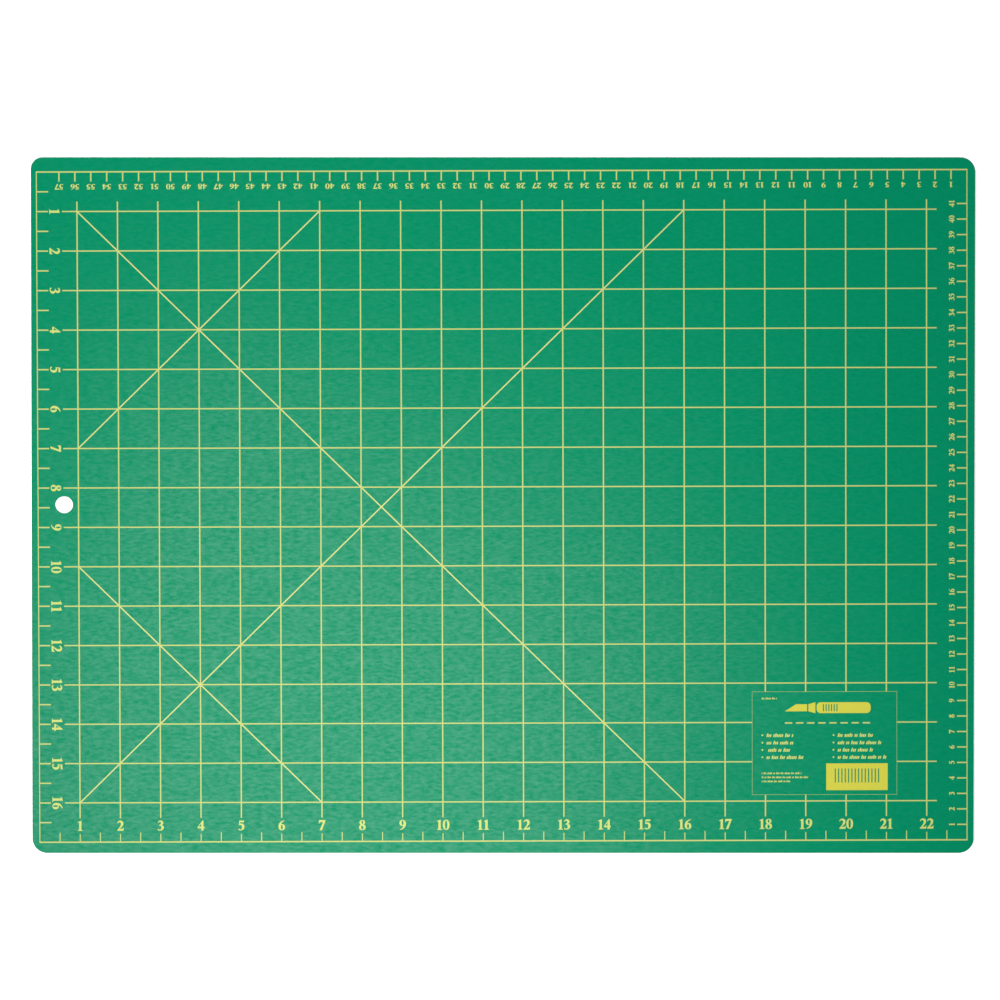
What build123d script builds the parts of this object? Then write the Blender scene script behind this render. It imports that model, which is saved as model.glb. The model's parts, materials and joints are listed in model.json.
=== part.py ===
from build123d import *
from math import atan2, degrees, dist
import os

# Self healing cutting mat: five bonded plies with a ruled grid printed on the top face.
# Millimetres. The origin is the middle of the underside. +X runs along the long side,
# +Y towards the back edge, which carries the long centimetre ruler, and +Z is up.

INCH = 25.4
CENTIMETRE = 10.0

# ---- mat blank ----
MAT_LENGTH = 593.0
MAT_WIDTH = 448.0
CORNER_RADIUS = 9.5
BACK_LEFT_CORNER_RADIUS = 7.5
EDGE_ROUNDING = 0.2

# ---- hanging hole, punched just behind the middle of the left edge ----
HOLE_RADIUS = 5.5
HOLE_FROM_LEFT_EDGE = 20.5
HOLE_BEHIND_MIDDLE = 0.6

# ---- plies from the underside up: name, thickness, and which rim is rounded ----
PLIES = [
    ("bottom_healing_skin", 0.6, "lower"),
    ("lower_inner_ply", 0.5, None),
    ("rigid_core", 0.8, None),
    ("upper_inner_ply", 0.5, None),
    ("top_healing_skin", 0.6, "upper"),
]
MAT_THICKNESS = sum(thickness for name, thickness, rim in PLIES)

# ---- print: one layer of ink, laid down slightly turned and off centre ----
INK_THICKNESS = 0.04
PRINT_TURN_DEGREES = 0.16
PRINT_SHIFT_X = -0.3
PRINT_SHIFT_Y = -0.3

# ---- border frame, between the middles of its lines ----
FRAME_LENGTH = 23 * INCH
FRAME_WIDTH = 17 * INCH
FRAME_LONG_LINE = 0.88
FRAME_SHORT_LINE = 0.6

# ---- inch grid, from the front left corner of the frame ----
GRID_LINE = 0.8
GRID_LEFT_END = 0.63 * INCH
GRID_RIGHT_END = 22.25 * INCH
GRID_FRONT_END = 0.61 * INCH
GRID_BACK_END = 16.25 * INCH
INCHES_ALONG = 22
INCHES_ACROSS = 16

# ---- diagonal guides: their two ends, in inches from the front left corner of the frame ----
DIAGONAL_LINE = 0.75
DIAGONALS = [
    ((1, 16), (16, 1)),
    ((1, 1), (16, 16)),
    ((1, 10), (7, 16)),
    ((1, 7), (7, 1)),
]

# ---- rulers: lengths and numeral places are from the middle of the frame line ----
TICK_LINE = 0.85
FRONT_TICK_LINE = 0.6
INCH_NUMERAL_HEIGHT = 6.6
CENTIMETRE_NUMERAL_HEIGHT = 3.5
FRONT_INCH_TICK = 0.205 * INCH
FRONT_HALF_INCH_TICK = 0.24 * INCH
FRONT_NUMERAL_MIDDLE = 10.6
LEFT_INCH_TICK = 0.28 * INCH
LEFT_HALF_INCH_TICK = 0.29 * INCH
LEFT_NUMERAL_MIDDLE = 11.3
BACK_CENTIMETRES = 57
BACK_CENTIMETRE_TICK = 6.2
BACK_NUMERAL_MIDDLE = 9.6
BACK_NUMERAL_WIDENING = 1.2
RIGHT_CENTIMETRES = 41
RIGHT_CENTIMETRE_TICK = 6.3
RIGHT_NUMERAL_MIDDLE = 9.6

# ---- information panel: X to the right and Y to the front, from the frame's back left corner ----
PANEL_LEFT = 448.9
PANEL_RIGHT = 540.0
PANEL_BACK = 335.8
PANEL_FRONT = 402.3
PANEL_LINE = 0.16

# ---- craft knife pictogram and its dashed cut line, at the head of the panel ----
KNIFE_TIP_X = 469.5
KNIFE_MIDDLE_Y = 346.2
BLADE_LENGTH = 14.0
BLADE_SLOPE = 7.0
BLADE_HALF_WIDTH = 2.3
COLLAR_LENGTH = 4.4
HANDLE_LENGTH = 34.0
HANDLE_WIDTH = 7.0
HANDLE_CORNER_RADIUS = 2.6
GRIP_SLOTS = 6
GRIP_SLOT_PITCH = 1.7
GRIP_SLOT_WIDTH = 0.7
GRIP_SLOT_LENGTH = 4.6
KNIFE_GAP = 0.8
CUT_LINE_Y = 356.0
CUT_DASHES = 8
CUT_DASH_LENGTH = 4.6
CUT_DASH_PITCH = 7.0
CUT_DASH_LINE = 0.9

# ---- plain stroke rows that take the place of text ----
TEXT_ROWS_Y = [363.9, 368.7, 373.4, 378.1]
LEFT_TEXT_X = 457.8
LEFT_TEXT_LENGTHS = [17.8, 18.5, 16.0, 25.3]
RIGHT_TEXT_X = 502.6
RIGHT_TEXT_LENGTHS = [23.0, 27.8, 22.3, 31.2]
TEXT_HEIGHT = 2.3
BULLET_BEFORE_TEXT = 2.5
BULLET_RADIUS = 0.55
SMALL_TEXT_X = 454.8
SMALL_ROWS_Y = [340.1, 388.4, 391.0, 393.6]
SMALL_TEXT_LENGTHS = [9.8, 25.5, 29.6, 18.0]
SMALL_TEXT_HEIGHT = 1.3
STROKE_PATTERN = "Ttt tTtttt Ttt tttTt tt Tttt "
STROKE_PITCH = 0.46
STROKE_WIDTH = 0.34
STROKE_LEAN = 0.25
SHORT_STROKE = 0.74

# ---- solid block with even slots, at the foot of the panel ----
BLOCK_LEFT = 495.5
BLOCK_RIGHT = 534.2
BLOCK_BACK = 382.2
BLOCK_FRONT = 399.5
SLOT_COUNT = 14
SLOT_PITCH = 2.1
SLOT_WIDTH = 0.7
SLOT_BACK = 385.5
SLOT_FRONT = 394.6

# ---- numerals: bold lining figures 100 units tall, as move, line and curve steps ----
GLYPH_UNITS = 100.0
STEP_POINTS = {"M": 1, "L": 1, "C": 3}
GLYPH_WIDTH = {"0": 68, "1": 60, "2": 68, "3": 66, "4": 69, "5": 66, "6": 69, "7": 67, "8": 68, "9": 69}
GLYPHS = {
    "0": [
        "M 34 0 C 54 0 66 20 66 50 C 66 80 54 100 34 100 C 14 100 2 80 2 50 C 2 20 14 0 34 0",
        "M 34 7 C 41 7 45 24 45 50 C 45 76 41 93 34 93 C 27 93 23 76 23 50 C 23 24 27 7 34 7",
    ],
    "1": [
        "M 8 0 L 54 0 L 54 6 C 45 7 42 9 42 17 L 42 100 L 37 100 L 6 86 L 8 80"
        " C 16 83 20 82 20 75 L 20 17 C 20 9 17 7 8 6 L 8 0",
    ],
    "2": [
        "M 3 0 L 62 0 L 66 30 L 60 30 C 57 21 54 19 46 19 L 26 19 C 38 31 62 46 62 71"
        " C 62 89 50 100 33 100 C 16 100 5 90 4 73 L 10 72 C 13 80 18 84 25 84"
        " C 34 84 39 78 39 68 C 39 47 20 27 3 7 L 3 0",
    ],
    "3": [
        "M 4 10 C 4 3 13 0 24 0 C 46 0 62 13 62 31 C 62 43 55 52 43 56 C 52 61 57 67 57 76"
        " C 57 90 46 100 31 100 C 17 100 7 92 4 79 L 10 77 C 13 83 18 86 24 86"
        " C 31 86 35 81 35 74 C 35 64 28 58 16 57 L 16 51 C 32 51 39 43 39 30"
        " C 39 17 32 9 22 9 C 16 9 14 18 9 18 C 6 18 4 14 4 10",
    ],
    "4": [
        "M 36 0 L 57 0 L 57 22 L 67 22 L 67 37 L 57 37 L 57 100 L 48 100 L 2 35 L 2 22 L 36 22 L 36 0",
        "M 36 37 L 36 70 L 13 37 L 36 37",
    ],
    "5": [
        "M 13 97 L 54 97 L 59 100 L 57 80 L 20 80 L 18 66 C 22 68 25 68 29 68"
        " C 49 68 62 56 62 36 C 62 14 45 0 22 0 C 11 0 4 4 4 11 C 4 16 7 18 10 18"
        " C 16 18 17 9 25 9 C 34 9 39 19 39 32 C 39 45 33 54 22 54 C 17 54 13 53 9 50 L 13 97",
    ],
    "6": [
        "M 58 99 C 27 92 3 72 3 38 C 3 14 16 0 35 0 C 54 0 66 13 66 31 C 66 49 55 61 40 61"
        " C 35 61 31 60 28 58 C 31 72 41 85 60 93 L 58 99",
        "M 36 7 C 29 7 26 17 26 30 C 26 43 29 52 35 52 C 41 52 44 43 44 29 C 44 15 42 7 36 7",
    ],
    "7": [
        "M 4 100 L 66 100 L 66 94 L 33 0 L 11 0 L 43 80 L 20 80 C 13 80 11 77 9 68 L 3 68 L 4 100",
    ],
    "8": [
        "M 34 100 C 51 100 61 91 61 77 C 61 67 55 60 46 56 C 59 50 66 41 66 28 C 66 11 53 0 33 0"
        " C 14 0 2 11 2 26 C 2 38 9 46 20 51 C 12 56 7 64 7 74 C 7 90 18 100 34 100",
        "M 34 93 C 39 93 42 86 42 77 C 42 69 39 64 35 60 C 29 64 26 69 26 78 C 26 87 29 93 34 93",
        "M 33 7 C 41 7 45 14 45 23 C 45 33 39 41 29 46 C 24 41 22 34 22 25 C 22 14 26 7 33 7",
    ],
}

# Each side of the frame is a ruler that runs along its own +X, read from outside the mat,
# and begins at the corner where its numbers start.
RULER_SIDES = {
    "front": Pos(-FRAME_LENGTH / 2, -FRAME_WIDTH / 2),
    "left": Pos(-FRAME_LENGTH / 2, FRAME_WIDTH / 2) * Rot(0, 0, -90),
    "back": Pos(FRAME_LENGTH / 2, FRAME_WIDTH / 2) * Rot(0, 0, 180),
    "right": Pos(FRAME_LENGTH / 2, -FRAME_WIDTH / 2) * Rot(0, 0, 90),
}
PRINT_PLACE = Pos(PRINT_SHIFT_X, PRINT_SHIFT_Y, MAT_THICKNESS) * Rot(0, 0, PRINT_TURN_DEGREES)


# ---- plies ----

def ply_outline():
    """The mat's outline with its rounded corners."""
    back_left = (-MAT_LENGTH / 2, MAT_WIDTH / 2, 0)
    blank = Rectangle(MAT_LENGTH, MAT_WIDTH)
    blank = fillet(blank.vertices().sort_by_distance(back_left)[:1], BACK_LEFT_CORNER_RADIUS)
    return fillet(blank.vertices().sort_by_distance(back_left)[-3:], CORNER_RADIUS)


def ply(bottom, thickness, rounded_rim):
    """One sheet of the stack, with its rim rounded by the die where it is an outer skin."""
    sheet = extrude(ply_outline(), amount=thickness)
    if rounded_rim == "upper":
        sheet = fillet(sheet.faces().sort_by(Axis.Z)[-1].edges(), EDGE_ROUNDING)
    if rounded_rim == "lower":
        sheet = fillet(sheet.faces().sort_by(Axis.Z)[0].edges(), EDGE_ROUNDING)
    hole_x = HOLE_FROM_LEFT_EDGE - MAT_LENGTH / 2
    sheet -= Pos(hole_x, HOLE_BEHIND_MIDDLE) * extrude(Circle(HOLE_RADIUS), amount=thickness)
    return Pos(0, 0, bottom) * sheet


# ---- print ----

def printed(shapes):
    """Flat shapes in the print's own plane, made into ink on the top face."""
    films = [extrude(shape, amount=INK_THICKNESS, dir=(0, 0, 1)) for shape in shapes]
    solids = [solid for film in films for solid in film.solids()]
    return PRINT_PLACE * Compound(solids)


def frame_point(x, y):
    """A point measured to the right and to the back from the frame's front left corner."""
    return Pos(x - FRAME_LENGTH / 2, y - FRAME_WIDTH / 2)


def panel_point(x, y):
    """A point measured to the right and to the front from the frame's back left corner."""
    return Pos(x - FRAME_LENGTH / 2, FRAME_WIDTH / 2 - y)


def panel_box(left, back, right, front):
    """An upright rectangle on the panel."""
    return panel_point((left + right) / 2, (back + front) / 2) * Rectangle(right - left, front - back)


def border_frame():
    """The ruled rectangle that the four rulers stand on."""
    outer = Rectangle(FRAME_LENGTH + FRAME_SHORT_LINE, FRAME_WIDTH + FRAME_LONG_LINE)
    inner = Rectangle(FRAME_LENGTH - FRAME_SHORT_LINE, FRAME_WIDTH - FRAME_LONG_LINE)
    return [outer - inner]


def inch_grid():
    """All the inch lines as one net."""
    run_x = GRID_RIGHT_END - GRID_LEFT_END
    run_y = GRID_BACK_END - GRID_FRONT_END
    middle_x = (GRID_LEFT_END + GRID_RIGHT_END) / 2
    middle_y = (GRID_FRONT_END + GRID_BACK_END) / 2
    lines = []
    for n in range(1, INCHES_ALONG + 1):
        lines.append(frame_point(n * INCH, middle_y) * Rectangle(GRID_LINE, run_y))
    for n in range(1, INCHES_ACROSS + 1):
        lines.append(frame_point(middle_x, n * INCH) * Rectangle(run_x, GRID_LINE))
    return Sketch() + lines


def panel_outer_box():
    """The panel with its border line."""
    half_line = PANEL_LINE / 2
    return panel_box(
        PANEL_LEFT - half_line, PANEL_BACK - half_line, PANEL_RIGHT + half_line, PANEL_FRONT + half_line
    )


def panel_border():
    """The thin line round the panel."""
    half_line = PANEL_LINE / 2
    inner = panel_box(
        PANEL_LEFT + half_line, PANEL_BACK + half_line, PANEL_RIGHT - half_line, PANEL_FRONT - half_line
    )
    return [panel_outer_box() - inner]


def diagonal_guides(grid):
    """The guides at 45 degrees, which stop where they meet the grid lines."""
    strips = []
    for start, end in DIAGONALS:
        angle = degrees(atan2(end[1] - start[1], end[0] - start[0]))
        middle = frame_point((start[0] + end[0]) / 2 * INCH, (start[1] + end[1]) / 2 * INCH)
        strips.append(middle * Rot(0, 0, angle) * Rectangle(dist(start, end) * INCH, DIAGONAL_LINE))
    return [(Sketch() + strips) - grid]


def ticks(side, places, length, frame_line):
    """Ticks that stand on the inner edge of one side of the frame."""
    foot = frame_line / 2
    width = FRONT_TICK_LINE if side == "front" else TICK_LINE
    tick = Pos(0, (foot + length) / 2) * Rectangle(width, length - foot)
    return [RULER_SIDES[side] * Pos(place, 0) * tick for place in places]


def inch_ticks(side, inches, whole_length, half_length, frame_line):
    """The ticks of an inch ruler: one at each inch, and one half way between."""
    whole = [n * INCH for n in range(1, inches + 1)]
    half = [(n + 0.5) * INCH for n in range(inches + 1)]
    return ticks(side, whole, whole_length, frame_line) + ticks(side, half, half_length, frame_line)


def centimetre_ticks(side, centimetres, length, frame_line):
    """The ticks of a centimetre ruler."""
    places = [n * CENTIMETRE for n in range(1, centimetres + 1)]
    return ticks(side, places, length, frame_line)


def glyph_wire(steps, scale_x, scale_y):
    """One closed outline of a numeral."""
    words = steps.split()
    edges = []
    here = None
    while words:
        step = words.pop(0)
        numbers = [float(words.pop(0)) for n in range(2 * STEP_POINTS[step])]
        points = [(x * scale_x, y * scale_y) for x, y in zip(numbers[0::2], numbers[1::2])]
        if step == "L":
            edges.append(Line(here, points[0]))
        if step == "C":
            edges.append(Bezier(here, *points))
        here = points[-1]
    return Wire(edges)


def digit_face(digit, height, widening):
    """One digit, standing on its baseline. A nine is a six turned half round."""
    scale_y = height / GLYPH_UNITS
    scale_x = scale_y * widening
    if digit == "9":
        turned = Pos(GLYPH_WIDTH[digit] * scale_x, height) * Rot(0, 0, 180)
        return turned * digit_face("6", height, widening)
    wires = [glyph_wire(steps, scale_x, scale_y) for steps in GLYPHS[digit]]
    return Face(wires[0], wires[1:])


def numerals(side, count, pitch, middle, height, widening=1.0):
    """The numbers of a ruler, each one centred on its tick."""
    digits = {digit: digit_face(digit, height, widening) for digit in GLYPH_WIDTH}
    scale_x = height / GLYPH_UNITS * widening
    faces = []
    for number in range(1, count + 1):
        text = str(number)
        x = number * pitch - sum(GLYPH_WIDTH[digit] for digit in text) * scale_x / 2
        for digit in text:
            faces.append(RULER_SIDES[side] * Pos(x, middle - height / 2) * digits[digit])
            x += GLYPH_WIDTH[digit] * scale_x
    return faces


# ---- information panel ----

def knife_pictogram():
    """A craft knife that lies level, blade to the left."""
    collar_x = BLADE_LENGTH + KNIFE_GAP
    handle_x = collar_x + COLLAR_LENGTH + KNIFE_GAP
    blade = Polygon(
        (0, -BLADE_HALF_WIDTH),
        (BLADE_LENGTH, -BLADE_HALF_WIDTH),
        (BLADE_LENGTH, BLADE_HALF_WIDTH),
        (BLADE_SLOPE, BLADE_HALF_WIDTH),
        align=None,
    )
    collar = Polygon(
        (collar_x, -BLADE_HALF_WIDTH),
        (collar_x + COLLAR_LENGTH, -HANDLE_WIDTH / 2),
        (collar_x + COLLAR_LENGTH, HANDLE_WIDTH / 2),
        (collar_x, BLADE_HALF_WIDTH),
        align=None,
    )
    handle = RectangleRounded(HANDLE_LENGTH, HANDLE_WIDTH, HANDLE_CORNER_RADIUS)
    handle = Pos(handle_x + HANDLE_LENGTH / 2, 0) * handle
    for n in range(1, GRIP_SLOTS + 1):
        slot_x = handle_x + HANDLE_CORNER_RADIUS + n * GRIP_SLOT_PITCH
        handle -= Pos(slot_x, 0) * Rectangle(GRIP_SLOT_WIDTH, GRIP_SLOT_LENGTH)
    place = panel_point(KNIFE_TIP_X, KNIFE_MIDDLE_Y)
    return [place * piece for piece in (blade, collar, handle)]


def cut_line():
    """The level row of dashes under the knife."""
    dash = Rectangle(CUT_DASH_LENGTH, CUT_DASH_LINE)
    first_x = KNIFE_TIP_X + CUT_DASH_LENGTH / 2
    return [panel_point(first_x + n * CUT_DASH_PITCH, CUT_LINE_Y) * dash for n in range(CUT_DASHES)]


def stroke(height, width):
    """One leaning stroke that stands on the line."""
    lean = STROKE_LEAN * height
    return Polygon((0, 0), (width, 0), (width + lean, height), (lean, height), align=None)


def stroke_row(x, y, length, height, first_stroke):
    """Short leaning strokes in groups, as plain as a line of text seen from far off."""
    width = STROKE_WIDTH * height
    marks = {"T": stroke(height, width), "t": stroke(SHORT_STROKE * height, width)}
    strokes = []
    for n in range(int(length / (STROKE_PITCH * height))):
        mark = STROKE_PATTERN[(n + first_stroke) % len(STROKE_PATTERN)]
        if mark != " ":
            strokes.append(panel_point(x + n * STROKE_PITCH * height, y + height / 2) * marks[mark])
    return strokes


def text_rows():
    """The two columns of four short lines."""
    strokes = []
    for row, y in enumerate(TEXT_ROWS_Y):
        strokes += stroke_row(LEFT_TEXT_X, y, LEFT_TEXT_LENGTHS[row], TEXT_HEIGHT, 7 * row)
        strokes += stroke_row(RIGHT_TEXT_X, y, RIGHT_TEXT_LENGTHS[row], TEXT_HEIGHT, 5 * row + 11)
    return strokes


def bullets():
    """The dot before each line."""
    columns = [LEFT_TEXT_X - BULLET_BEFORE_TEXT, RIGHT_TEXT_X - BULLET_BEFORE_TEXT]
    return [panel_point(x, y) * Circle(BULLET_RADIUS) for x in columns for y in TEXT_ROWS_Y]


def small_rows():
    """The four lines of smallest print."""
    strokes = []
    for row, y in enumerate(SMALL_ROWS_Y):
        strokes += stroke_row(SMALL_TEXT_X, y, SMALL_TEXT_LENGTHS[row], SMALL_TEXT_HEIGHT, 9 * row)
    return strokes


def slotted_block():
    """The solid block with its row of even slots."""
    block = panel_box(BLOCK_LEFT, BLOCK_BACK, BLOCK_RIGHT, BLOCK_FRONT)
    first_x = (BLOCK_LEFT + BLOCK_RIGHT) / 2 - SLOT_PITCH * (SLOT_COUNT - 1) / 2
    for n in range(SLOT_COUNT):
        x = first_x + n * SLOT_PITCH
        block -= panel_box(x - SLOT_WIDTH / 2, SLOT_BACK, x + SLOT_WIDTH / 2, SLOT_FRONT)
    return [block]


# ---- assembly ----

def make_plies():
    """Every ply by name, stacked from the underside up."""
    nodes = {}
    bottom = 0
    for name, thickness, rounded_rim in PLIES:
        nodes[name] = ply(bottom, thickness, rounded_rim)
        bottom += thickness
    return nodes


def make_print():
    """Every printed feature by name."""
    grid = inch_grid()
    flat = {
        "border_frame_line": border_frame(),
        "inch_grid_lines": [grid - panel_outer_box()],
        "diagonal_guide_lines": diagonal_guides(grid),
        "front_inch_ticks": inch_ticks(
            "front", INCHES_ALONG, FRONT_INCH_TICK, FRONT_HALF_INCH_TICK, FRAME_LONG_LINE
        ),
        "left_inch_ticks": inch_ticks(
            "left", INCHES_ACROSS, LEFT_INCH_TICK, LEFT_HALF_INCH_TICK, FRAME_SHORT_LINE
        ),
        "back_centimetre_ticks": centimetre_ticks(
            "back", BACK_CENTIMETRES, BACK_CENTIMETRE_TICK, FRAME_LONG_LINE
        ),
        "right_centimetre_ticks": centimetre_ticks(
            "right", RIGHT_CENTIMETRES, RIGHT_CENTIMETRE_TICK, FRAME_SHORT_LINE
        ),
        "front_inch_numerals": numerals(
            "front", INCHES_ALONG, INCH, FRONT_NUMERAL_MIDDLE, INCH_NUMERAL_HEIGHT
        ),
        "left_inch_numerals": numerals(
            "left", INCHES_ACROSS, INCH, LEFT_NUMERAL_MIDDLE, INCH_NUMERAL_HEIGHT
        ),
        "back_centimetre_numerals": numerals(
            "back",
            BACK_CENTIMETRES,
            CENTIMETRE,
            BACK_NUMERAL_MIDDLE,
            CENTIMETRE_NUMERAL_HEIGHT,
            BACK_NUMERAL_WIDENING,
        ),
        "right_centimetre_numerals": numerals(
            "right", RIGHT_CENTIMETRES, CENTIMETRE, RIGHT_NUMERAL_MIDDLE, CENTIMETRE_NUMERAL_HEIGHT
        ),
        "panel_border_line": panel_border(),
        "panel_knife_pictogram": knife_pictogram(),
        "panel_cut_line": cut_line(),
        "panel_text_rows": text_rows(),
        "panel_bullets": bullets(),
        "panel_small_rows": small_rows(),
        "panel_slotted_block": slotted_block(),
    }
    return {name: printed(shapes) for name, shapes in flat.items()}


os.makedirs("parts", exist_ok=True)
for node, shape in {**make_plies(), **make_print()}.items():
    export_step(shape, f"parts/{node}.step")
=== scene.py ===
import json
import math

import bmesh
import bpy
from mathutils import Matrix, Vector
from mathutils.geometry import interpolate_bezier


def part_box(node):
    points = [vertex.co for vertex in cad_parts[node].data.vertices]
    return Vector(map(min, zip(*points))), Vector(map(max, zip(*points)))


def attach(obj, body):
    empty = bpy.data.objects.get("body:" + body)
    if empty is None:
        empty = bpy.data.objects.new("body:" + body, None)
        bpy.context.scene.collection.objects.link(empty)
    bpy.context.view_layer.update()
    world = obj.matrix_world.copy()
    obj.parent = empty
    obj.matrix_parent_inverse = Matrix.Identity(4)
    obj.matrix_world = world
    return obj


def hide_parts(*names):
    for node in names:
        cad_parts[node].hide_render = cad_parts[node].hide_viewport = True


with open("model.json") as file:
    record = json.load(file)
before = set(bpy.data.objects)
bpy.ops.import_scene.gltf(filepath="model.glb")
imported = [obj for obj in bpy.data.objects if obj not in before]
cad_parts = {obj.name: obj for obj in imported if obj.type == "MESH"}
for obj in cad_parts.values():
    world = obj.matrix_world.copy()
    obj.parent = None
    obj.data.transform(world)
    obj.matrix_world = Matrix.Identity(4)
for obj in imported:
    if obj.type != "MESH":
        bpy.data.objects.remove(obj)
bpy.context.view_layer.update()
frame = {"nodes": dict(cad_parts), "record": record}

# The mat lies on the floor, print up. Metres. +X runs to the right along the long side,
# +Y to the back edge, +Z up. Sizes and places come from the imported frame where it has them.

MM = 0.001
INCH = 25.4 * MM

# ---- mat ----
SKIN_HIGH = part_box("top_healing_skin")[1]
TOP_Z = SKIN_HIGH.z
HALF_LENGTH = SKIN_HIGH.x
HALF_WIDTH = SKIN_HIGH.y
CORNER_RADIUS = 9.5 * MM
BACK_LEFT_CORNER_RADIUS = 7.5 * MM
CORNER_STEPS = 28
HOLE_STEPS = 96
HOLE = next(mount for mount in frame["record"]["mounts"] if mount["name"] == "hanging_hole")
HOLE_CENTRE = Vector(HOLE["pos_m"][:2])
HOLE_RADIUS = HOLE["dims"]["r_mm"] * MM

# The outer rims of the two skins are rounded, and a fine groove marks each seam between plies.
# A ply's flat faces are filled from a little inside its rim, so that the rim shades cleanly.
SKIN_ROUNDING = 0.2 * MM
SEAM_DEPTH = 0.035 * MM
ROUNDING_STEPS = 5
FLAT_MARGIN = 0.9 * MM
SHARP_ANGLE = math.radians(35)

# ---- print ----
INK_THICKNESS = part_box("front_inch_numerals")[1].z - TOP_Z
PRINT_SHIFT = (-0.3 * MM, -0.3 * MM, 0)
PRINT_TURN = math.radians(0.16)
PRINT_PLACE = Matrix.Translation(PRINT_SHIFT) @ Matrix.Rotation(PRINT_TURN, 4, "Z")
FRAME_HALF_LENGTH = 23 * INCH / 2
FRAME_HALF_WIDTH = 17 * INCH / 2
CURVE_STEPS = 7
WELD_DISTANCE = 0.001 * MM

# Each ruler: the frame corner it starts from, the turn of its numerals in degrees, how many
# numbers, their pitch, how far inside the frame line their middle is, their height, and how
# many times the usual width they have.
RULERS = {
    "front_inch_numerals": ((-1, -1), 0, 22, INCH, 10.6 * MM, 6.6 * MM, 1.0),
    "left_inch_numerals": ((-1, 1), -90, 16, INCH, 11.3 * MM, 6.6 * MM, 1.0),
    "back_centimetre_numerals": ((1, 1), 180, 57, 10 * MM, 9.6 * MM, 3.5 * MM, 1.2),
    "right_centimetre_numerals": ((1, -1), 90, 41, 10 * MM, 9.6 * MM, 3.5 * MM, 1.0),
}

# Bold lining figures 100 units tall, as move, line and curve steps, and the points each step has.
GLYPH_UNITS = 100
STEP_POINTS = {"M": 1, "L": 1, "C": 3}
GLYPH_WIDTH = {
    "0": 68, "1": 60, "2": 68, "3": 66, "4": 69,
    "5": 66, "6": 69, "7": 67, "8": 68, "9": 69,
}
GLYPHS = {
    "0": [
        "M 34 0 C 54 0 66 20 66 50 C 66 80 54 100 34 100 C 14 100 2 80 2 50 C 2 20 14 0 34 0",
        "M 34 7 C 41 7 45 24 45 50 C 45 76 41 93 34 93 C 27 93 23 76 23 50 C 23 24 27 7 34 7",
    ],
    "1": [
        "M 8 0 L 54 0 L 54 6 C 45 7 42 9 42 17 L 42 100 L 37 100 L 6 86 L 8 80"
        " C 16 83 20 82 20 75 L 20 17 C 20 9 17 7 8 6 L 8 0",
    ],
    "2": [
        "M 3 0 L 62 0 L 66 30 L 60 30 C 57 21 54 19 46 19 L 26 19 C 38 31 62 46 62 71"
        " C 62 89 50 100 33 100 C 16 100 5 90 4 73 L 10 72 C 13 80 18 84 25 84"
        " C 34 84 39 78 39 68 C 39 47 20 27 3 7 L 3 0",
    ],
    "3": [
        "M 4 10 C 4 3 13 0 24 0 C 46 0 62 13 62 31 C 62 43 55 52 43 56 C 52 61 57 67 57 76"
        " C 57 90 46 100 31 100 C 17 100 7 92 4 79 L 10 77 C 13 83 18 86 24 86"
        " C 31 86 35 81 35 74 C 35 64 28 58 16 57 L 16 51 C 32 51 39 43 39 30"
        " C 39 17 32 9 22 9 C 16 9 14 18 9 18 C 6 18 4 14 4 10",
    ],
    "4": [
        "M 36 0 L 57 0 L 57 22 L 67 22 L 67 37 L 57 37 L 57 100 L 48 100 L 2 35 L 2 22 L 36 22 L 36 0",
        "M 36 37 L 36 70 L 13 37 L 36 37",
    ],
    "5": [
        "M 13 97 L 54 97 L 59 100 L 57 80 L 20 80 L 18 66 C 22 68 25 68 29 68"
        " C 49 68 62 56 62 36 C 62 14 45 0 22 0 C 11 0 4 4 4 11 C 4 16 7 18 10 18"
        " C 16 18 17 9 25 9 C 34 9 39 19 39 32 C 39 45 33 54 22 54 C 17 54 13 53 9 50 L 13 97",
    ],
    "6": [
        "M 58 99 C 27 92 3 72 3 38 C 3 14 16 0 35 0 C 54 0 66 13 66 31 C 66 49 55 61 40 61"
        " C 35 61 31 60 28 58 C 31 72 41 85 60 93 L 58 99",
        "M 36 7 C 29 7 26 17 26 30 C 26 43 29 52 35 52 C 41 52 44 43 44 29 C 44 15 42 7 36 7",
    ],
    "7": [
        "M 4 100 L 66 100 L 66 94 L 33 0 L 11 0 L 43 80 L 20 80 C 13 80 11 77 9 68 L 3 68 L 4 100",
    ],
    "8": [
        "M 34 100 C 51 100 61 91 61 77 C 61 67 55 60 46 56 C 59 50 66 41 66 28 C 66 11 53 0 33 0"
        " C 14 0 2 11 2 26 C 2 38 9 46 20 51 C 12 56 7 64 7 74 C 7 90 18 100 34 100",
        "M 34 93 C 39 93 42 86 42 77 C 42 69 39 64 35 60 C 29 64 26 69 26 78 C 26 87 29 93 34 93",
        "M 33 7 C 41 7 45 14 45 23 C 45 33 39 41 29 46 C 24 41 22 34 22 25 C 22 14 26 7 33 7",
    ],
}

# ---- colours, linear ----
SKIN_DULL_STREAK = (0.0, 0.205, 0.095)
SKIN_GLOSSY_STREAK = (0.001, 0.219, 0.105)
SKIN_CLOUD = (0.0, 0.204, 0.094)
SKIN_GRAIN = (0.0, 0.130, 0.060)
SKIN_SPECK = (0.0, 0.075, 0.045)
INNER_DARK = (0.006, 0.100, 0.052)
INNER_LIGHT = (0.014, 0.150, 0.084)
CORE_DARK = (0.52, 0.57, 0.50)
CORE_LIGHT = (0.64, 0.68, 0.62)
TABLE_DARK = (0.94, 0.94, 0.94)
TABLE_LIGHT = (0.96, 0.96, 0.96)
WHITE = (1, 1, 1, 1)

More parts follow.
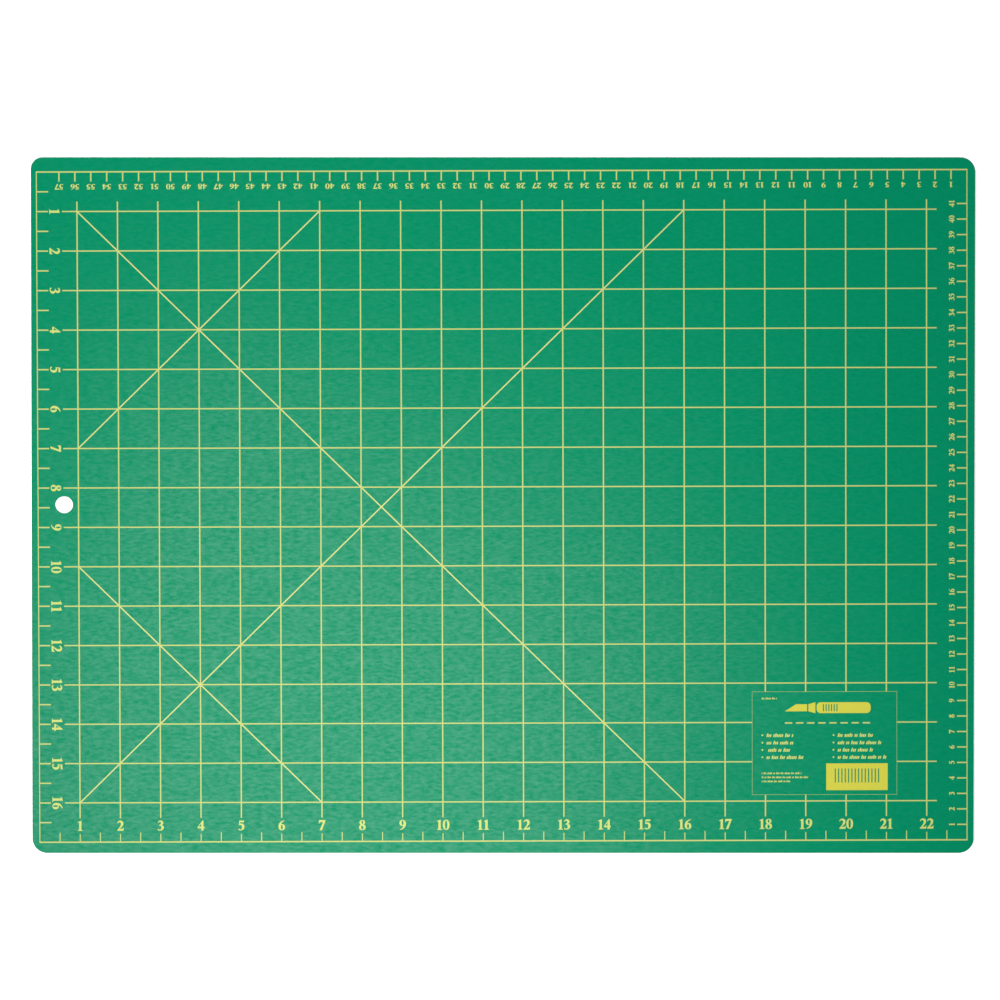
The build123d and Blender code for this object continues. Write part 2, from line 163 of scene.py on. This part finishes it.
# Each tint of the ink: its material's name, and its colours where it is thick and thin.
INKS = {
    "block": ("yellow_ink", (0.500, 0.480, 0.028), (0.460, 0.455, 0.050)),
    "numeral": ("yellow_ink_numeral", (0.475, 0.525, 0.110), (0.435, 0.515, 0.180)),
    "line": ("yellow_ink_line", (0.430, 0.465, 0.115), (0.405, 0.465, 0.175)),
    "guide": ("yellow_ink_guide", (0.520, 0.530, 0.160), (0.490, 0.525, 0.220)),
}

# ---- material helpers ----

# The sockets of a Mix node that mix two colours.
MIX_FACTOR = 0
MIX_FIRST = 6
MIX_SECOND = 7
MIX_RESULT = 2


class Nodes:
    """A new material's node tree, with short calls for the nodes used here."""

    def __init__(self, name):
        self.material = bpy.data.materials.new(name)
        self.material.use_nodes = True
        self.tree = self.material.node_tree
        self.shader = self.tree.nodes["Principled BSDF"]
        self.place = self.add("ShaderNodeTexCoord").outputs["Object"]

    def add(self, kind):
        """A new node of this kind."""
        return self.tree.nodes.new(kind)

    def link(self, source, target):
        """A link from a node's output to a socket."""
        self.tree.links.new(source, target)

    def stretched(self, scale):
        """The place, scaled per axis, in features per metre."""
        mapping = self.add("ShaderNodeMapping")
        mapping.inputs["Scale"].default_value = scale
        self.link(self.place, mapping.inputs["Vector"])
        return mapping.outputs["Vector"]

    def noise(self, scale, detail=2.0, roughness=0.5):
        """Soft noise from 0 to 1."""
        node = self.add("ShaderNodeTexNoise")
        node.inputs["Scale"].default_value = 1.0
        node.inputs["Detail"].default_value = detail
        node.inputs["Roughness"].default_value = roughness
        self.link(self.stretched(scale), node.inputs["Vector"])
        return node.outputs["Fac"]

    def ramp(self, value, low=0.0, high=1.0, start=0.0, end=1.0):
        """value mapped from low..high to start..end, and held there."""
        node = self.add("ShaderNodeMapRange")
        node.inputs["From Min"].default_value = low
        node.inputs["From Max"].default_value = high
        node.inputs["To Min"].default_value = start
        node.inputs["To Max"].default_value = end
        self.link(value, node.inputs["Value"])
        return node.outputs["Result"]

    def maths(self, operation, first, second):
        """One operation on two numbers or outputs."""
        node = self.add("ShaderNodeMath")
        node.operation = operation
        for socket, value in zip(node.inputs, (first, second)):
            if isinstance(value, (int, float)):
                socket.default_value = value
            else:
                self.link(value, socket)
        return node.outputs["Value"]

    def mix(self, factor, first, second):
        """The first colour, and as much of the second as the factor says."""
        node = self.add("ShaderNodeMix")
        node.data_type = "RGBA"
        for index, value in ((MIX_FACTOR, factor), (MIX_FIRST, first), (MIX_SECOND, second)):
            socket = node.inputs[index]
            if isinstance(value, (int, float)):
                socket.default_value = value
            elif isinstance(value, tuple):
                socket.default_value = (*value, 1.0)
            else:
                self.link(value, socket)
        return node.outputs[MIX_RESULT]

    def tint(self, colour, towards, where, share):
        """A colour, turned towards another by this share where the mask is 1."""
        return self.mix(self.maths("MULTIPLY", where, share), colour, towards)

    def relief(self, height, distance):
        """Bump the shader by a height that is this many metres at its full value."""
        node = self.add("ShaderNodeBump")
        node.inputs["Distance"].default_value = distance
        self.link(height, node.inputs["Height"])
        self.link(node.outputs["Normal"], self.shader.inputs["Normal"])

    def set(self, socket, value):
        """Set a socket of the shader to a constant, or link it to a node's output."""
        if isinstance(value, (int, float, tuple)):
            self.shader.inputs[socket].default_value = value
        else:
            self.link(value, self.shader.inputs[socket])


def per_mm(x, y, z):
    """A scale in features per metre, from feature sizes in millimetres."""
    return (1 / (x * MM), 1 / (y * MM), 1 / (z * MM))


def specks(nodes, spacing, size, share):
    """1 in small dots, 0 elsewhere: spacing and size in millimetres, share of cells with a dot."""
    cells = nodes.add("ShaderNodeTexVoronoi")
    cells.inputs["Scale"].default_value = 1.0
    nodes.link(nodes.stretched(per_mm(spacing, spacing, spacing)), cells.inputs["Vector"])
    edge = size / spacing
    dot = nodes.ramp(cells.outputs["Distance"], low=edge, high=0.5 * edge)
    pick = nodes.add("ShaderNodeSeparateColor")
    nodes.link(cells.outputs["Color"], pick.inputs["Color"])
    chosen = nodes.maths("LESS_THAN", pick.outputs["Red"], share)
    return nodes.maths("MULTIPLY", dot, chosen)


def pebble(nodes):
    """The calendered pebble of the skins, which the ink on them follows."""
    return nodes.noise(per_mm(0.75, 0.75, 0.75), detail=3.0, roughness=0.55)


# ---- materials ----

def healing_pvc():
    """Satin calendered PVC: fine pebble, glossier and duller streaks along X, a few dark specks."""
    nodes = Nodes("green_healing_pvc")
    streaks = nodes.noise(per_mm(4.0, 1.7, 4.0), detail=3.0, roughness=0.55)
    streaks = nodes.ramp(streaks, low=0.3, high=0.7)
    clouds = nodes.noise(per_mm(22, 9, 22), detail=3.0, roughness=0.6)
    clouds = nodes.ramp(clouds, low=0.36, high=0.64)
    grain = nodes.noise(per_mm(1.1, 0.9, 1.1), detail=2.0, roughness=0.6)
    grain = nodes.ramp(grain, low=0.3, high=0.7)
    colour = nodes.mix(streaks, SKIN_DULL_STREAK, SKIN_GLOSSY_STREAK)
    colour = nodes.tint(colour, SKIN_CLOUD, where=clouds, share=0.3)
    colour = nodes.tint(colour, SKIN_GRAIN, where=grain, share=0.2)
    dots = specks(nodes, spacing=5.0, size=0.55, share=0.16)
    nodes.set("Base Color", nodes.tint(colour, SKIN_SPECK, where=dots, share=0.55))
    nodes.set("Roughness", nodes.ramp(clouds, start=0.245, end=0.27))
    nodes.set("Specular IOR Level", nodes.ramp(streaks, start=0.02, end=0.15))
    nodes.relief(pebble(nodes), 0.008 * MM)
    return nodes.material


def inner_pvc():
    """The darker, softer ply: a matte cut edge with the die's fine upright drag lines."""
    nodes = Nodes("dark_green_inner_pvc")
    cloud = nodes.noise(per_mm(4, 4, 0.4), detail=3.0, roughness=0.6)
    nodes.set("Base Color", nodes.mix(cloud, INNER_DARK, INNER_LIGHT))
    nodes.set("Roughness", nodes.ramp(cloud, low=0.3, high=0.7, start=0.62, end=0.75))
    nodes.set("Specular IOR Level", 0.3)
    drag = nodes.noise(per_mm(0.25, 0.25, 3.0), detail=2.0, roughness=0.6)
    nodes.relief(drag, 0.02 * MM)
    return nodes.material


def rigid_core():
    """Milky polypropylene sheet, seen only at its cut edge."""
    nodes = Nodes("pale_rigid_core")
    cloud = nodes.noise(per_mm(6, 6, 0.5), detail=3.0, roughness=0.6)
    nodes.set("Base Color", nodes.mix(cloud, CORE_DARK, CORE_LIGHT))
    nodes.set("Roughness", nodes.ramp(cloud, low=0.3, high=0.7, start=0.45, end=0.6))
    nodes.set("Specular IOR Level", 0.4)
    drag = nodes.noise(per_mm(0.2, 0.2, 3.0), detail=2.0, roughness=0.6)
    nodes.relief(drag, 0.015 * MM)
    return nodes.material


def printed_ink(name, thick, thin):
    """Matte screen-print ink. It follows the pebble of the skin and is a little uneven in depth."""
    nodes = Nodes(name)
    depth = nodes.noise(per_mm(3.5, 3.5, 3.5), detail=3.0, roughness=0.6)
    depth = nodes.ramp(depth, low=0.3, high=0.7)
    grain = nodes.noise(per_mm(0.4, 0.4, 0.4), detail=2.0, roughness=0.6)
    grain = nodes.ramp(grain, low=0.35, high=0.75)
    colour = nodes.tint(thick, thin, where=depth, share=0.5)
    nodes.set("Base Color", nodes.tint(colour, thin, where=grain, share=0.25))
    nodes.set("Roughness", nodes.ramp(depth, start=0.55, end=0.68))
    nodes.set("Specular IOR Level", 0.35)
    nodes.relief(pebble(nodes), 0.015 * MM)
    return nodes.material


def light_table():
    """White diffusing acrylic with a little light from below, so that thin shadows stay white."""
    nodes = Nodes("light_table")
    cloud = nodes.noise(per_mm(40, 40, 40), detail=2.0, roughness=0.5)
    nodes.set("Base Color", nodes.mix(cloud, TABLE_DARK, TABLE_LIGHT))
    nodes.set("Roughness", 0.9)
    nodes.set("Specular IOR Level", 0.0)
    nodes.set("Emission Color", WHITE)
    nodes.set("Emission Strength", 0.75)
    return nodes.material


def ink_of(node):
    """The tint of a printed node: fullest in solid blocks, and dullest in the grid and ticks."""
    if node in ("panel_slotted_block", "panel_knife_pictogram"):
        return "block"
    if node == "diagonal_guide_lines":
        return "guide"
    if node.endswith(("_line", "_lines", "_ticks")):
        return "line"
    return "numeral"


# ---- pieces ----

def new_piece(name, mesh):
    """A smooth shaded object from a bmesh, with its real corners kept sharp."""
    data = bpy.data.meshes.new(name)
    mesh.to_mesh(data)
    mesh.free()
    data.polygons.foreach_set("use_smooth", [True] * len(data.polygons))
    data.set_sharp_from_angle(angle=SHARP_ANGLE)
    piece = bpy.data.objects.new(name, data)
    bpy.context.scene.collection.objects.link(piece)
    return piece


def set_material(piece, material):
    """Give a piece one material in place of any it has."""
    piece.data.materials.clear()
    piece.data.materials.append(material)


# ---- plies ----

def arc(centre, radius, start, turn, steps):
    """Points of an arc in the plan, with both ends. Angles in degrees."""
    angles = [math.radians(start + turn * n / steps) for n in range(steps + 1)]
    return [(centre[0] + radius * math.cos(a), centre[1] + radius * math.sin(a)) for a in angles]


def mat_ring(inset):
    """The mat's outline, anticlockwise from its front right corner, set in by a distance."""
    points = []
    corners = [
        (1, -1, CORNER_RADIUS),
        (1, 1, CORNER_RADIUS),
        (-1, 1, BACK_LEFT_CORNER_RADIUS),
        (-1, -1, CORNER_RADIUS),
    ]
    for n, (side_x, side_y, radius) in enumerate(corners):
        centre = (side_x * (HALF_LENGTH - radius), side_y * (HALF_WIDTH - radius))
        points += arc(centre, radius - inset, 90 * n - 90, 90, CORNER_STEPS)
    return points


def hole_ring(inset):
    """The hanging hole, opened by a distance."""
    return arc(HOLE_CENTRE, HOLE_RADIUS + inset, 0, 360, HOLE_STEPS)[:-1]


def bend(radius):
    """(inset, rise) pairs round a quarter circle, from the flat face to the side."""
    angles = [math.radians(90 * n / ROUNDING_STEPS) for n in range(ROUNDING_STEPS + 1)]
    return [(radius * (1 - math.sin(a)), radius * (1 - math.cos(a))) for a in angles]


def side_profile(low, high, rim):
    """(inset, z) pairs down one side of a ply, from its lower face to its upper face."""
    lower_radius = SKIN_ROUNDING if rim == "lower" else SEAM_DEPTH
    upper_radius = SKIN_ROUNDING if rim == "upper" else SEAM_DEPTH
    lower = [(inset, low + rise) for inset, rise in bend(lower_radius)]
    upper = [(inset, high - rise) for inset, rise in bend(upper_radius)]
    return [(FLAT_MARGIN, low), *lower, *reversed(upper), (FLAT_MARGIN, high)]


def wall(mesh, ring, profile, inward):
    """A closed wall round a ring. Returns its first and last loops of edges."""
    loops = []
    for inset, z in profile:
        loops.append([mesh.verts.new((x, y, z)) for x, y in ring(inset)])
    count = len(loops[0])
    for lower, upper in zip(loops, loops[1:]):
        for n in range(count):
            corners = [lower[n], lower[(n + 1) % count], upper[(n + 1) % count], upper[n]]
            mesh.faces.new(reversed(corners) if inward else corners)
    return [[mesh.edges.get((loop[n], loop[(n + 1) % count])) for n in range(count)]
            for loop in (loops[0], loops[-1])]


def make_ply(name, node, rim):
    """One ply of the stack, pierced by the hanging hole. rim names the rounded one, if any."""
    low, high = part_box(node)
    profile = side_profile(low.z, high.z, rim)
    mesh = bmesh.new()
    outer_loops = wall(mesh, mat_ring, profile, inward=False)
    hole_loops = wall(mesh, hole_ring, profile, inward=True)
    for outer, hole in zip(outer_loops, hole_loops):
        bmesh.ops.triangle_fill(mesh, use_beauty=True, edges=outer + hole)
    bmesh.ops.recalc_face_normals(mesh, faces=mesh.faces)
    piece = new_piece(name, mesh)
    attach(piece, "root")
    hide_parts(node)
    return piece


# ---- numerals ----

def outline_points(steps):
    """The points round one outline of a digit, its curves cut into short steps."""
    words = steps.split()
    points = []
    while words:
        step = words.pop(0)
        numbers = [float(words.pop(0)) for n in range(2 * STEP_POINTS[step])]
        ends = [Vector((x, y, 0)) for x, y in zip(numbers[0::2], numbers[1::2])]
        if step == "C":
            points += interpolate_bezier(points[-1], *ends, CURVE_STEPS + 1)[1:]
        else:
            points += ends
    return points[:-1]


def digit_outlines(digit):
    """The outlines of one digit that stands on its baseline. A nine is a six turned half round."""
    if digit == "9":
        half_turn = Matrix.Rotation(math.pi, 4, "Z")
        turned = Matrix.Translation((GLYPH_WIDTH["9"], GLYPH_UNITS, 0)) @ half_turn
        return [[turned @ point for point in points] for points in digit_outlines("6")]
    return [outline_points(steps) for steps in GLYPHS[digit]]


def add_outline(curve, points):
    """One closed spline of a filled curve."""
    spline = curve.splines.new("POLY")
    spline.points.add(len(points) - 1)
    spline.use_cyclic_u = True
    for corner, point in zip(spline.points, points):
        corner.co = (*point, 1)


def ruler_side(corner, turn):
    """The place of one ruler: its corner of the frame, with X along its numbers."""
    start = Matrix.Translation((corner[0] * FRAME_HALF_LENGTH, corner[1] * FRAME_HALF_WIDTH, 0))
    return PRINT_PLACE @ start @ Matrix.Rotation(math.radians(turn), 4, "Z")


def ink_layer(curve):
    """The mesh of a filled curve, laid on the top skin."""
    holder = bpy.data.objects.new(curve.name, curve)
    bpy.context.scene.collection.objects.link(holder)
    bpy.context.view_layer.update()
    depsgraph = bpy.context.evaluated_depsgraph_get()
    data = bpy.data.meshes.new_from_object(holder.evaluated_get(depsgraph))
    bpy.data.objects.remove(holder)
    data.transform(Matrix.Translation((0, 0, TOP_Z + INK_THICKNESS / 2)))
    mesh = bmesh.new()
    mesh.from_mesh(data)
    bmesh.ops.remove_doubles(mesh, verts=mesh.verts, dist=WELD_DISTANCE)
    bpy.data.meshes.remove(data)
    return mesh


def make_numerals(node, corner, turn, count, pitch, middle, height, widening):
    """The numbers along one side of the frame, as one layer of ink."""
    curve = bpy.data.curves.new(node, "CURVE")
    curve.dimensions = "2D"
    curve.fill_mode = "BOTH"
    curve.extrude = INK_THICKNESS / 2
    side = ruler_side(corner, turn)
    scale_y = height / GLYPH_UNITS
    scale_x = scale_y * widening
    for number in range(1, count + 1):
        digits = str(number)
        x = number * pitch - sum(GLYPH_WIDTH[digit] for digit in digits) * scale_x / 2
        for digit in digits:
            place = side @ Matrix.Translation((x, middle - height / 2, 0))
            place = place @ Matrix.Diagonal((scale_x, scale_y, 1, 1))
            for points in digit_outlines(digit):
                add_outline(curve, [place @ point for point in points])
            x += GLYPH_WIDTH[digit] * scale_x
    piece = new_piece("printed_" + node, ink_layer(curve))
    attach(piece, "root")
    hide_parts(node)
    return piece


# ---- stage ----

# The camera leans towards the back edge by VIEW_TILT from straight above the mat, and sees
# VIEW_WIDTH of the table from side to side. SENSOR is in millimetres, as Blender takes it.
VIEW_TILT = math.radians(12.5)
VIEW_DISTANCE = 24.5
VIEW_WIDTH = 0.6289
AIM = Vector((-0.0019, 0.0039, TOP_Z))
SENSOR = 36.0
CLIP_START = 0.1
CLIP_END = 200.0

FLOOR_HALF_SIZE = 6.0
FLOOR_SEGMENTS = 4
FLOOR_BELOW_MAT = 0.05 * MM
STUDIO_FILL = 0.02


def make_camera():
    """Nearly straight down at the mat, through a very long lens."""
    data = bpy.data.cameras.new("camera")
    data.sensor_width = SENSOR
    data.lens = SENSOR * VIEW_DISTANCE / VIEW_WIDTH
    data.clip_start = CLIP_START
    data.clip_end = CLIP_END
    camera = bpy.data.objects.new("camera", data)
    towards = Vector((0, math.sin(VIEW_TILT), math.cos(VIEW_TILT)))
    camera.location = AIM + towards * VIEW_DISTANCE
    camera.rotation_euler = (-VIEW_TILT, 0, 0)
    bpy.context.scene.collection.objects.link(camera)
    bpy.context.scene.camera = camera


def make_floor():
    """A wide white table top under the mat."""
    mesh = bmesh.new()
    bmesh.ops.create_grid(
        mesh, x_segments=FLOOR_SEGMENTS, y_segments=FLOOR_SEGMENTS, size=FLOOR_HALF_SIZE
    )
    floor = new_piece("floor", mesh)
    floor.location.z = -FLOOR_BELOW_MAT
    set_material(floor, light_table())


def make_light(name, place, aim, size, power):
    """A square softbox that faces a point and isn't seen itself. power in watts."""
    data = bpy.data.lights.new(name, "AREA")
    data.shape = "SQUARE"
    data.size = size
    data.energy = power
    light = bpy.data.objects.new(name, data)
    light.location = place
    light.rotation_euler = (Vector(aim) - Vector(place)).to_track_quat("-Z", "Y").to_euler()
    light.visible_camera = False
    bpy.context.scene.collection.objects.link(light)


def make_lights():
    """A large softbox behind the back left corner, and a small low one over the mat's front."""
    make_light(
        "back_softbox", place=(-0.75, 1.4, 1.5), aim=(-0.2, 0.8, 0), size=1.9, power=57
    )
    make_light(
        "front_softbox", place=(-0.107, -0.287, 0.6), aim=(0.113, 0.113, 0), size=0.42, power=4.7
    )
    world = bpy.data.worlds.new("studio")
    world.use_nodes = True
    background = world.node_tree.nodes["Background"]
    background.inputs["Color"].default_value = WHITE
    background.inputs["Strength"].default_value = STUDIO_FILL
    bpy.context.scene.world = world
    bpy.context.scene.view_settings.view_transform = "Standard"


# ---- making ----

make_camera()
skin = healing_pvc()
inner = inner_pvc()
core = rigid_core()
inks = {tint: printed_ink(*look) for tint, look in INKS.items()}

# Each ply: the piece's name, the CAD node it replaces, its material and slot, and its rounded rim.
PLIES = [
    ("mat_bottom_skin", "bottom_healing_skin", skin, "green_healing_pvc", "lower"),
    ("mat_lower_inner_ply", "lower_inner_ply", inner, "dark_green_inner_pvc", None),
    ("mat_rigid_core", "rigid_core", core, "pale_rigid_core", None),
    ("mat_upper_inner_ply", "upper_inner_ply", inner, "dark_green_inner_pvc", None),
    ("mat_top_skin", "top_healing_skin", skin, "green_healing_pvc", "upper"),
]
for name, node, material, slot, rim in PLIES:
    ply = make_ply(name, node, rim)
    set_material(ply, material)

for node, ruler in RULERS.items():
    set_material(make_numerals(node, *ruler), inks["numeral"])

for subpart in frame["record"]["subparts"]:
    if subpart["material_slot"] == "yellow_ink":
        node = subpart["node"]
        set_material(frame["nodes"][node], inks[ink_of(node)])

make_floor()
make_lights()
